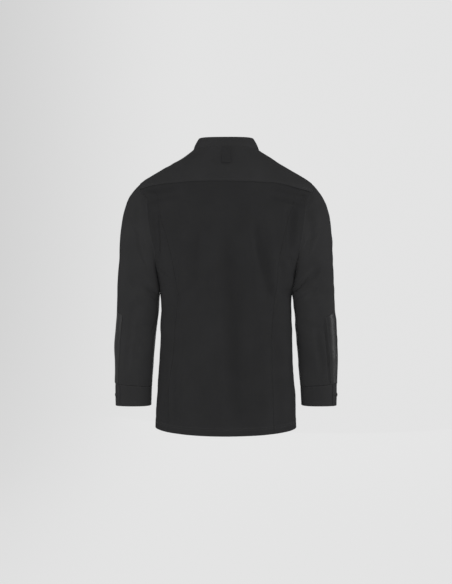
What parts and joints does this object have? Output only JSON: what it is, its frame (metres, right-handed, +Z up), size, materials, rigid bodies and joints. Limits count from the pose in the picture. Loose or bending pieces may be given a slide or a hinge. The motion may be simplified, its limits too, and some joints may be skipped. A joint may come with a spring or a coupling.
{
  "type": "chef jacket",
  "caption": "Long-sleeved black chef jacket in its worn shape with nobody in it: low stand collar, arched back yoke, princess seams, double-breasted front and lapped cuffs.",
  "frame": {"origin": "middle of the neck seam, at the height of that seam at the centre back", "axes": "+Z up, the front faces -Y, the wearer's left is +X"},
  "size_m": [0.6056, 0.2699, 0.7796],
  "materials": {
    "twill": "matt black woven twill",
    "knit": "matt black fine knit",
    "button_plastic": "matt black moulded plastic"
  },
  "bodies": {
    "root": {"back_centre": "knit", "back_side_left": "knit", "back_side_right": "knit", "back_yoke": "twill", "front_left": "twill", "front_right": "twill", "collar": "twill", "sleeve_left": "twill", "sleeve_right": "twill", "sleeve_placket_left": "twill", "sleeve_placket_right": "twill", "cuff_left": "twill", "cuff_right": "twill", "hanger_loop": "twill", "button_left_1": "button_plastic", "button_left_2": "button_plastic", "button_left_3": "button_plastic", "button_left_4": "button_plastic", "button_left_5": "button_plastic", "button_right_1": "button_plastic", "button_right_2": "button_plastic", "button_right_3": "button_plastic", "button_right_4": "button_plastic", "button_right_5": "button_plastic", "cuff_button_left": "button_plastic", "cuff_button_right": "button_plastic"}
  },
  "joints": []
}
